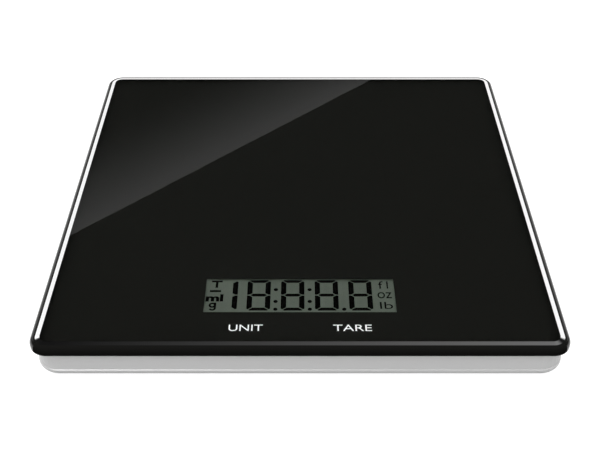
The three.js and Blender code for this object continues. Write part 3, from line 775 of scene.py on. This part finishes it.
def lcd_segments():
    """Every segment of the display, all of them on: digits, colons, points and unit signs."""
    bm = bmesh.new()
    z0, z1 = LCD_HIGH.z - SEGMENT_RISE, LCD_HIGH.z + SEGMENT_RISE

    def add(outline, x=0.0, y=0.0):
        prism_into(bm, [(px + x, py + y) for px, py in outline], z0, z1)

    middles = [FIRST_DIGIT_X + i * DIGIT_PITCH for i in range(WHOLE_DIGITS)]
    for middle in middles:
        for outline in digit_outlines():
            add(outline, middle - DIGIT_W / 2, DIGIT_Y)
    one = mirrored(upright_segment(), width=DIGIT_W)
    for outline in (one, mirrored(one, height=DIGIT_H)):
        add(outline, FIRST_DIGIT_X - DIGIT_PITCH - DIGIT_W / 2 + LEADING_ONE_SHIFT, DIGIT_Y)
    for index, middle in enumerate(middles[:-1]):
        rises = (POINT_RISE, *COLON_RISES) if index < 2 else (POINT_RISE,)
        for rise in rises:
            add(circle(middle + DIGIT_PITCH / 2, DIGIT_Y + rise, DOT_R, DOT_STEPS))
    for text, x0, y0, x1, y1, bold in UNIT_SIGNS:
        lettering_into(bm, text, x0, y0, x1, y1, z0, z1, bold)
    for box in (MINUS_SIGN, *TARE_SIGN):
        add(rectangle(*box))
    for start, end in zip(GRAM_SIGN, GRAM_SIGN[1:]):
        add(stroke(start, end, GRAM_HALF_WIDTH))
    return keep(new_object("lcd_segments", bm, [segment_ink()]))


LCD_LOWER_THICK = 1.2
LCD_PLATE_GAP = 0.01
LCD_LEDGE = 2.6
LCD_ARRIS = 0.12


def lcd_glass():
    """The display's two glass plates, the lower one with a bare ledge for the contacts."""
    bm = bmesh.new()
    middle_z = LCD_LOW.z + LCD_LOWER_THICK
    lower = rectangle(LCD_LOW.x, LCD_LOW.y, LCD_HIGH.x, LCD_HIGH.y)
    upper = rectangle(LCD_LOW.x, LCD_LOW.y + LCD_LEDGE, LCD_HIGH.x, LCD_HIGH.y)
    prism_into(bm, lower, LCD_LOW.z, middle_z)
    prism_into(bm, upper, middle_z + LCD_PLATE_GAP, LCD_HIGH.z)
    bmesh.ops.bevel(bm, geom=bm.edges[:], offset=LCD_ARRIS, segments=2, affect="EDGES")
    return keep(new_object("lcd_glass", bm, [liquid_crystal()]), ["lcd_panel"])


# ------------------------------------------------------------------ base


def corner_places():
    """The middle of each foot, by corner."""
    return {
        f"{end}_{side}": (sx * FOOT_XY, sy * FOOT_XY)
        for side, sx in (("left", -1), ("right", 1))
        for end, sy in (("front", -1), ("back", 1))
    }


def cover_shell():
    """The tray: quarter-round lower edge, straight rim, bevelled crease, and its hollow."""
    half = COVER_HIGH.x
    rings = []
    for step in range(EDGE_STEPS + 1):
        angle = math.pi / 2 * step / EDGE_STEPS
        inset = EDGE_ROUND * (1 - math.sin(angle))
        z = COVER_LOW.z + EDGE_ROUND * (1 - math.cos(angle))
        rings.append((half - inset, BASE_CORNER_R - inset, z))
    parting = COVER_LOW.z + PARTING_RISE
    rings.append((half, BASE_CORNER_R, parting - CREASE))
    rings.append((half - CREASE, BASE_CORNER_R - CREASE, parting))
    satin, worn = 0, 1
    slots = [satin] * (len(rings) - 2) + [worn]
    shell = loft("base_cover", rings, [SILVER, WORN_CREASE], slots, (satin, satin))
    floor_z = COVER_LOW.z + FLOOR_THICK
    hollow = [(CAVITY_HALF, CAVITY_CORNER_R, z) for z in (floor_z, parting + CUT_SPARE)]
    boolean(shell, loft("cutter", hollow, []))
    bay = around(0, BAY_Y, BAY_HALF[0] + BAY_WALL, BAY_HALF[1] + BAY_WALL)
    boolean(shell, cutter_of([(bay, floor_z - CUT_SPARE, BAY_CEILING_Z + BAY_ROOF)]), "UNION")
    return shell


def base_cover():
    """The lower shell with its foot holes, screw pockets, battery bay and label recess."""
    shell = cover_shell()
    low, floor_z = COVER_LOW.z, COVER_LOW.z + FLOOR_THICK
    below = low - CUT_SPARE
    seat_top = low + DOOR_THICK + DOOR_CLEARANCE
    seat = (DOOR_HALF[0] + GAP, DOOR_HALF[1] + GAP)
    recess = around(0, LABEL_Y, LABEL_HALF[0] + GAP, LABEL_HALF[1] + GAP)
    cuts = [(recess, below, low + LABEL_RECESS), (around(0, BAY_Y, *seat), below, seat_top)]
    for x, y in corner_places().values():
        cuts.append((circle(x, y, FOOT_HOLE_R), below, floor_z + CUT_SPARE))
    for x, y in COVER_SCREWS:
        pocket = circle(x, y, SCREW_POCKET_R, SCREW_POCKET_STEPS)
        cuts.append((pocket, below, low + SCREW_POCKET_DEPTH))
    boolean(shell, cutter_of(cuts))
    inner = [(around(0, BAY_Y, LEDGE_HALF, LEDGE_HALF), low, floor_z + CUT_LAP)]
    for x, y in COVER_SCREWS:
        hole = circle(x, y, SCREW_HOLE_R, SCREW_HOLE_STEPS)
        inner.append((hole, low + SCREW_POCKET_DEPTH - CUT_LAP, floor_z + CUT_SPARE))
    boolean(shell, cutter_of(inner))
    latch_front, latch_back = BAY_Y - seat[1] - GAP, BAY_Y - BAY_HALF[1] + CUT_SPARE
    latch_slot = rectangle(-LATCH_HALF_X - GAP, latch_front, LATCH_HALF_X + GAP, latch_back)
    boolean(shell, cutter_of([(latch_slot, seat_top - MEETING_LAP, LATCH_TOP_Z + CUT_SPARE)]))
    boolean(shell, cutter_of([(around(0, BAY_Y, *BAY_HALF), floor_z, BAY_CEILING_Z)]))
    contact_slots = []
    for side in (-1, 1):
        x0, x1 = sorted((side * (CONTACT_X[0] - GAP), side * (CONTACT_X[1] + GAP)))
        slot = rectangle(x0, BAY_Y - CONTACT_HALF_Y - GAP, x1, BAY_Y + CONTACT_HALF_Y + GAP)
        roof_top = BAY_CEILING_Z + BAY_ROOF
        contact_slots.append((slot, BAY_CEILING_Z - CUT_SPARE, roof_top + CUT_SPARE))
    boolean(shell, cutter_of(contact_slots))
    return keep(shell, ["bottom_cover"])


# ------------------------------------------------------------------ underside

GRIP_DEPTH = 0.3
GRIP_SLOPE = 0.3  # how far the sides of each ridge lean out
GRIP_RIDGES = [(2.6, 3.9), (5.3, 6.6), (7.9, 9.0)]  # inner and outer radius of each ridge
PAD_CHAMFER = 0.3


def foot_pads():
    """Rubber pads with ring-shaped ridges that grip the table."""
    for corner, (x, y) in corner_places().items():
        node = f"foot_pad_{corner}"
        low, high = box_mm(node)
        radius = (high.x - low.x) / 2
        outline = [(0, GRIP_DEPTH)]
        for inner, outer in GRIP_RIDGES:
            outline += [(inner - GRIP_SLOPE, GRIP_DEPTH), (inner, low.z), (outer, low.z)]
            outline.append((outer + GRIP_SLOPE, GRIP_DEPTH))
        outline += [(radius, GRIP_DEPTH + PAD_CHAMFER), (radius, high.z), (0, high.z)]
        keep(turned(f"grip_pad_{corner}", outline, x, y, [RUBBER]), [node])


CUP_R = 12.0
CUP_EDGE = 0.5
CUP_EDGE_STEPS = 4
FLANGE_Z = 4.1
FLANGE_THICK = 1.1
STEM_R = 4.0
CUP_GROOVE = (10.1, 10.7)  # inner and outer radius
CUP_GROOVE_DEPTH = 0.3


def foot_cups():
    """Round cups with a groove round the pad, a flange that stops them and a stem on top."""
    for corner, (x, y) in corner_places().items():
        node = f"foot_cup_{corner}"
        low, high = box_mm(node)
        flange_r = (high.x - low.x) / 2
        inner, outer = CUP_GROOVE
        outline = [(0, low.z), (inner, low.z), (inner, low.z + CUP_GROOVE_DEPTH)]
        outline += [(outer, low.z + CUP_GROOVE_DEPTH), (outer, low.z)]
        for step in range(CUP_EDGE_STEPS + 1):
            angle = math.pi / 2 * step / CUP_EDGE_STEPS
            radius = CUP_R - CUP_EDGE * (1 - math.sin(angle))
            outline.append((radius, low.z + CUP_EDGE * (1 - math.cos(angle))))
        outline += [(CUP_R, FLANGE_Z), (flange_r, FLANGE_Z), (flange_r, FLANGE_Z + FLANGE_THICK)]
        outline += [(STEM_R, FLANGE_Z + FLANGE_THICK), (STEM_R, high.z), (0, high.z)]
        keep(turned(f"foot_ring_{corner}", outline, x, y, [GREY]), [node])


SCREW_HEAD_R = 3.0
SCREW_HEAD_TALL = 0.9
SCREW_HEAD_CURVE = [(0.6, 0.0), (0.84, 0.14), (0.96, 0.42)]  # share of the radius, height
SCREW_RIM = (0.05, 0.1)  # width and height of the chamfer under the head
SCREW_STEPS = 36
SHANK_R = 1.2
SCREW_TIP = (0.4, 1.0)  # radius and length of the taper
CROSS = (1.65, 0.32)  # half length and half width of each slot of the cross
CROSS_DEPTH = 0.5


def cover_screws():
    """Pan-head screws with a cross recess, driven upwards."""
    for index, (x, y) in enumerate(COVER_SCREWS):
        node = screw_node_at(x, y)
        low, high = box_mm(node)
        seat = low.z + SCREW_HEAD_TALL
        outline = [
            (0, low.z),
            *[(SCREW_HEAD_R * share, low.z + height) for share, height in SCREW_HEAD_CURVE],
            (SCREW_HEAD_R, seat - SCREW_RIM[1]),
            (SCREW_HEAD_R - SCREW_RIM[0], seat),
            (SHANK_R, seat),
            (SHANK_R, high.z - SCREW_TIP[1]),
            (SCREW_TIP[0], high.z),
            (0, high.z),
        ]
        screw = turned(f"cross_screw_{index + 1}", outline, x, y, [SCREW_STEEL], SCREW_STEPS)
        recess = cross_outline(x, y)
        boolean(screw, cutter_of([(recess, low.z - CUT_SPARE, low.z + CROSS_DEPTH)]))
        keep(screw, [node])


def cross_outline(x, y):
    """The outline of a cross recess, anticlockwise."""
    long, thin = CROSS
    half = [(long, -thin), (long, thin), (thin, thin), (thin, long), (-thin, long), (-thin, thin)]
    cross = half + [(-px, -py) for px, py in half]
    return [(x + px, y + py) for px, py in cross]


def screw_node_at(x, y):
    """The cover screw's node whose middle is nearest to a place."""

    def away(node):
        low, high = box_mm(node)
        return math.hypot((low.x + high.x) / 2 - x, (low.y + high.y) / 2 - y)

    return min(nodes_starting("cover_screw"), key=away)


DOOR_CORNER_R = 0.8
DOOR_EDGE = 0.2
LATCH_THICK = 1.0
DIP_HALF_X = 5.0
DIP_Y = (1.5, 4.0)  # from the door's front edge
DIP_DEPTH = 0.5
DIP_CORNER_R = 1.2
RIB_RADII = (6.0, 4.5)  # outer and inner
RIB_TOP_Z = 3.7
GRIP_GROOVES = 4
GROOVE_PITCH = 1.1
GROOVE_HALF = 0.25
GROOVE_DEPTH = 0.25


def battery_door():
    """The flush door: nail dip, grip grooves, latch finger and the ring that backs the cell."""
    low = COVER_LOW.z
    below = low - CUT_SPARE
    top = low + DOOR_THICK
    front = BAY_Y - DOOR_HALF[1]
    bm = bmesh.new()
    prism_into(bm, rounded_rectangle(0, BAY_Y, *DOOR_HALF, DOOR_CORNER_R), low, top)
    under = [e for e in bm.edges if all(abs(v.co.z - low) < SAME_PLACE for v in e.verts)]
    bmesh.ops.bevel(bm, geom=under, offset=DOOR_EDGE, segments=2, affect="EDGES")
    door = new_object("coin_cell_door", bm, [SILVER])
    latch = around(0, front + LATCH_THICK / 2, LATCH_HALF_X, LATCH_THICK / 2)
    boolean(door, cutter_of([(latch, top - GAP, LATCH_TOP_Z)]), "UNION")
    boolean(door, cutter_of([(circle(0, BAY_Y, RIB_RADII[0]), top - GAP, RIB_TOP_Z)]), "UNION")
    boolean(door, cutter_of([(circle(0, BAY_Y, RIB_RADII[1]), top, RIB_TOP_Z + CUT_SPARE)]))
    dip_y = front + sum(DIP_Y) / 2
    dip = rounded_rectangle(0, dip_y, DIP_HALF_X, (DIP_Y[1] - DIP_Y[0]) / 2, DIP_CORNER_R)
    cuts = [(dip, below, low + DIP_DEPTH)]
    for index in range(GRIP_GROOVES):
        y = front + DIP_Y[1] + GROOVE_PITCH * (index + 1)
        groove = around(0, y, DIP_HALF_X, GROOVE_HALF)
        cuts.append((groove, below, low + GROOVE_DEPTH))
    boolean(door, cutter_of(cuts))
    return keep(door, ["battery_door"], "battery_door")


LABEL_CORNER_R = 2.0
BORDER_INSET = 2.0
BORDER_WIDTH = 0.4
BORDER_CORNER_R = (1.2, 0.9)  # outer and inner
BORDER_RISE = 0.01


def rating_label():
    """A blank metallised label with a thin printed border."""
    low, high = box_mm("rating_label")
    half_x, half_y = (high.x - low.x) / 2, (high.y - low.y) / 2
    y = (high.y + low.y) / 2

    def inside(inset, radius):
        return rounded_rectangle(0, y, half_x - inset, half_y - inset, radius)

    bm = bmesh.new()
    prism_into(bm, inside(0, LABEL_CORNER_R), low.z, high.z)
    keep(new_object("blank_label", bm, [label_film()]), ["rating_label"])
    bm = bmesh.new()
    outer = inside(BORDER_INSET, BORDER_CORNER_R[0])
    prism_into(bm, outer, low.z - BORDER_RISE, low.z + BORDER_RISE)
    border = new_object("label_border", bm, [segment_ink()])
    inner = inside(BORDER_INSET + BORDER_WIDTH, BORDER_CORNER_R[1])
    boolean(border, cutter_of([(inner, low.z - CUT_SPARE, low.z + CUT_SPARE)]))
    return keep(border)


# ------------------------------------------------------------------ carried-over CAD nodes


def dress(nodes, material):
    """Gives CAD nodes a material and smooth shading, with their shape left as it is."""
    for name in nodes:
        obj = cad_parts[name]
        obj.data.materials.clear()
        obj.data.materials.append(material)
        smooth(obj)


def nodes_starting(*starts):
    return [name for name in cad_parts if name.startswith(starts)]


def dress_cad_nodes():
    """Gives every part that keeps its CAD shape its material."""
    dress(nodes_starting("upper_frame"), SILVER)
    dress(["lcd_holder"], GREY)
    dress(nodes_starting("board_screw", "load_cell_screw"), SCREW_STEEL)
    dress(nodes_starting("load_cell_front", "load_cell_back"), SPRING_STEEL)
    dress(nodes_starting("unit_touch", "tare_touch"), SPRING_STEEL)
    dress(nodes_starting("battery_positive_contact", "battery_negative_contact"), SPRING_STEEL)
    dress(["battery_cell"], steel("cell_can", (0.70, 0.70, 0.69), 0.22, (1, 1, 1)))
    dress(nodes_starting("strain_gauge_cap", "contact_strip"), SILICONE)
    dress(nodes_starting("load_cell_lead"), insulation("white_insulation", (0.62, 0.62, 0.58)))
    dress(["battery_positive_lead"], insulation("red_insulation", (0.35, 0.012, 0.012)))
    dress(["battery_negative_lead"], insulation("black_insulation", (0.015, 0.015, 0.015)))
    dress(["circuit_board"], LAMINATE)
    dress(["controller_chip"], RESIN)
    dress(["mounting_tape"], foam_tape())


# ------------------------------------------------------------------ studio

CAMERA_PLACE = (0.0, -345.2, 268.4)
CAMERA_PITCH = 38.24  # degrees below the horizon
CAMERA_LENS = 57.5
SENSOR_WIDTH = 36
CAMERA_CLIP = (0.01, 100)  # metres
FLOOR_HALF = 4.0  # metres


def add_camera():
    data = bpy.data.cameras.new("camera")
    data.sensor_width = SENSOR_WIDTH
    data.sensor_fit = "HORIZONTAL"
    data.lens = CAMERA_LENS
    camera = bpy.data.objects.new("camera", data)
    camera.location = [c * MM for c in CAMERA_PLACE]
    camera.rotation_euler = (math.radians(90 - CAMERA_PITCH), 0, 0)
    bpy.context.scene.collection.objects.link(camera)
    bpy.context.scene.camera = camera
    data.clip_start, data.clip_end = CAMERA_CLIP


def add_floor():
    """The table. Matt surfaces don't see it, so it throws no light back on the underside."""
    mesh = bpy.data.meshes.new("floor")
    corners = around(0, 0, FLOOR_HALF, FLOOR_HALF)
    mesh.from_pydata([(x, y, 0) for x, y in corners], [], [(0, 1, 2, 3)])
    mesh.materials.append(studio_floor())
    floor = bpy.data.objects.new("floor", mesh)
    bpy.context.scene.collection.objects.link(floor)
    floor.visible_diffuse = False


# The reflection card: its near edge on the ground plan, its height and how far its light reaches.
CARD_START = Vector((-289, 584))
CARD_END = Vector((115, 979))
CARD_RISE = 500
CARD_REACH = 195
CARD_OVERHANG = 0.6
CARD_LIGHT = (0.48, 0.37)  # from its near end to its far end
CARD_FALL = 2.0  # how fast its light falls away from the near edge


def card_material(length):
    """Light that fades from the card's near edge outwards, and from its near end to its far end."""
    material = bpy.data.materials.new("reflection_card")
    material.use_nodes = True
    tree = material.node_tree
    tree.nodes.clear()
    place = tree.nodes.new("ShaderNodeTexCoord")
    split = tree.nodes.new("ShaderNodeSeparateXYZ")
    tree.links.new(place.outputs["Object"], split.inputs["Vector"])
    fade = range_node(tree, split.outputs["Y"], (0.0, CARD_REACH * MM), (1.0, 0.0))
    ends = (length * CARD_OVERHANG * MM, length * (1 + CARD_OVERHANG) * MM)
    lengthwise = range_node(tree, split.outputs["X"], ends, CARD_LIGHT)
    strength = math_node(tree, "MULTIPLY", math_node(tree, "POWER", fade, CARD_FALL), lengthwise)
    glow = tree.nodes.new("ShaderNodeEmission")
    clear = tree.nodes.new("ShaderNodeBsdfTransparent")
    added = tree.nodes.new("ShaderNodeAddShader")
    out = tree.nodes.new("ShaderNodeOutputMaterial")
    tree.links.new(strength, glow.inputs["Strength"])
    tree.links.new(glow.outputs["Emission"], added.inputs[0])
    tree.links.new(clear.outputs["BSDF"], added.inputs[1])
    tree.links.new(added.outputs["Shader"], out.inputs["Surface"])
    return material


def add_reflection_card():
    """A card seen only in reflections: bright along its straight near edge, fading outwards."""
    along = (CARD_END - CARD_START).normalized()
    length = (CARD_END - CARD_START).length
    start = CARD_START - along * length * CARD_OVERHANG
    total = length * (1 + 2 * CARD_OVERHANG)
    corners = rectangle(0, 0, total, CARD_REACH)
    mesh = bpy.data.meshes.new("reflection_card")
    mesh.from_pydata([(u * MM, v * MM, 0) for u, v in corners], [], [(0, 1, 2, 3)])
    mesh.materials.append(card_material(length))
    card = bpy.data.objects.new("reflection_card", mesh)
    card.location = (start.x * MM, start.y * MM, (GLASS_HIGH.z + CARD_RISE) * MM)
    card.rotation_euler = (0, 0, math.atan2(along.y, along.x))
    bpy.context.scene.collection.objects.link(card)
    card.visible_camera = False
    card.visible_diffuse = False
    card.visible_shadow = False
    card.visible_transmission = False


# Light of the surroundings
BACKDROP_LIGHT = 1.25  # the plain backdrop, seen by the camera
FILL_LIGHT = 1.62  # what matt surfaces see above the horizon
GROUND_LIGHT = 0.05  # what matt surfaces see below it
HORIZON_LIGHT = 1.25  # the white surroundings, seen in gloss
SOFTBOX_LIGHT = 13.0
DARK_LIGHT = 0.012  # the dark upper part of the studio, seen in gloss
WORLD_COLOR = (0.8, 0.8, 0.8, 1)

# Directions in the world, as ranges of the unit direction's parts over which one light gives way
# to the next. Z is up, and -Y is towards the camera's side.
LOW_BAND = (0.19, 0.24)  # Z, where the white band ends
LOBE_INNER = (0.5, 0.035)  # side of a lobe at a height: slope and start
LOBE_OUTER = (1.15, 0.05)
LOBE_INNER_SOFT = (-0.085, -0.035)
LOBE_OUTER_SOFT = (-0.08, 0.0)
LOBE_BACK = (0.48, 0.58)  # Y
LOBE_TOP = (0.6, 0.68)  # Z
OVERHEAD = (0.74, 0.86)  # Z
OVERHEAD_CURVE = (0.27, 0.305, 0.0748)  # light overhead, as a curve over the lean towards +X
OVERHEAD_LEAST = 0.01
SOFTBOX_FRONT = (0.5, 0.62)  # -Y
SOFTBOX_HIGH = (0.45, 0.55)  # Z
SOFTBOX_LEFT = (-0.1, 0.3)  # -X
HORIZON = (-0.02, 0.02)  # Z
LEAST_RISE = 0.1  # keeps the lean finite near the horizon


def add_world():
    """Shows gloss a studio that is white near the horizon, and matt surfaces an even fill."""
    world = bpy.data.worlds.new("studio")
    bpy.context.scene.world = world
    world.use_nodes = True
    tree = world.node_tree
    tree.nodes.clear()

    def maths(operation, *values):
        return math_node(tree, operation, *values)

    def smooth_step(value, limits):
        return range_node(tree, value, limits, kind="SMOOTHSTEP")

    def product(first, *others):
        for other in others:
            first = maths("MULTIPLY", first, other)
        return first

    def opposite(value):
        return maths("SUBTRACT", 1.0, value)

    def blend(share, first, second):
        """first where share is 0, second where it is 1."""
        return maths("MULTIPLY_ADD", share, maths("SUBTRACT", second, first), first)

    place = tree.nodes.new("ShaderNodeTexCoord")
    split = tree.nodes.new("ShaderNodeSeparateXYZ")
    tree.links.new(place.outputs["Generated"], split.inputs["Vector"])
    x, y, z = split.outputs
    # A white band all round near the horizon, and a white lobe on each side of the back.
    side = maths("ABSOLUTE", x)
    inner = maths("SUBTRACT", side, maths("MULTIPLY_ADD", z, *LOBE_INNER))
    outer = maths("SUBTRACT", maths("MULTIPLY_ADD", z, *LOBE_OUTER), side)
    lobe = product(smooth_step(inner, LOBE_INNER_SOFT), smooth_step(outer, LOBE_OUTER_SOFT))
    lobe = product(lobe, smooth_step(y, LOBE_BACK), opposite(smooth_step(z, LOBE_TOP)))
    is_dark = opposite(maths("MAXIMUM", opposite(smooth_step(z, LOW_BAND)), lobe))
    # Overhead the dark turns to grey towards +X.
    lean = maths("DIVIDE", x, maths("MAXIMUM", z, LEAST_RISE))
    squared, straight, level = OVERHEAD_CURVE
    curve = maths("MULTIPLY", product(lean, lean), squared)
    overhead = maths("ADD", maths("MULTIPLY_ADD", lean, straight, level), curve)
    overhead = maths("MAXIMUM", overhead, OVERHEAD_LEAST)
    dark = blend(smooth_step(z, OVERHEAD), DARK_LIGHT, overhead)
    gloss = blend(is_dark, HORIZON_LIGHT, dark)
    # High in front, a softbox to the left catches the crease of the base.
    is_front = smooth_step(maths("MULTIPLY", y, -1.0), SOFTBOX_FRONT)
    is_left = smooth_step(maths("MULTIPLY", x, -1.0), SOFTBOX_LEFT)
    softbox = product(is_front, smooth_step(z, SOFTBOX_HIGH), is_left)
    gloss = maths("MULTIPLY_ADD", softbox, SOFTBOX_LIGHT, gloss)
    # Light that has met a matt surface sees the fill, and the camera sees the backdrop.
    path = tree.nodes.new("ShaderNodeLightPath")
    is_gloss = maths("LESS_THAN", path.outputs["Diffuse Depth"], 0.5)
    above = smooth_step(z, HORIZON)
    fill = maths("MULTIPLY_ADD", above, FILL_LIGHT - GROUND_LIGHT, GROUND_LIGHT)
    strength = blend(is_gloss, fill, gloss)
    strength = blend(path.outputs["Is Camera Ray"], strength, BACKDROP_LIGHT)
    background = tree.nodes.new("ShaderNodeBackground")
    background.inputs["Color"].default_value = WORLD_COLOR
    out = tree.nodes.new("ShaderNodeOutputWorld")
    tree.links.new(strength, background.inputs["Strength"])
    tree.links.new(background.outputs["Background"], out.inputs["Surface"])


# metres and watts
SOFTBOX_PLACE = (-0.2, 0.1, 1.6)
SOFTBOX_SIZE = 2.4
SOFTBOX_POWER = 22


def add_softbox():
    """A broad light overhead, aimed at the middle of the part."""
    data = bpy.data.lights.new("overhead_softbox", "AREA")
    data.shape = "RECTANGLE"
    data.size = data.size_y = SOFTBOX_SIZE
    data.energy = SOFTBOX_POWER
    light = bpy.data.objects.new("overhead_softbox", data)
    light.location = SOFTBOX_PLACE
    light.rotation_euler = (-Vector(SOFTBOX_PLACE)).to_track_quat("-Z", "Y").to_euler()
    light.visible_glossy = False
    light.visible_camera = False
    bpy.context.scene.collection.objects.link(light)


def add_studio():
    add_camera()
    add_floor()
    add_world()
    add_reflection_card()
    add_softbox()
    bpy.context.scene.view_settings.view_transform = "Standard"


platform_glass()
printed_layer()
key_legends()
lcd_glass()
lcd_segments()
base_cover()
foot_pads()
foot_cups()
cover_screws()
battery_door()
rating_label()
dress_cad_nodes()
add_studio()
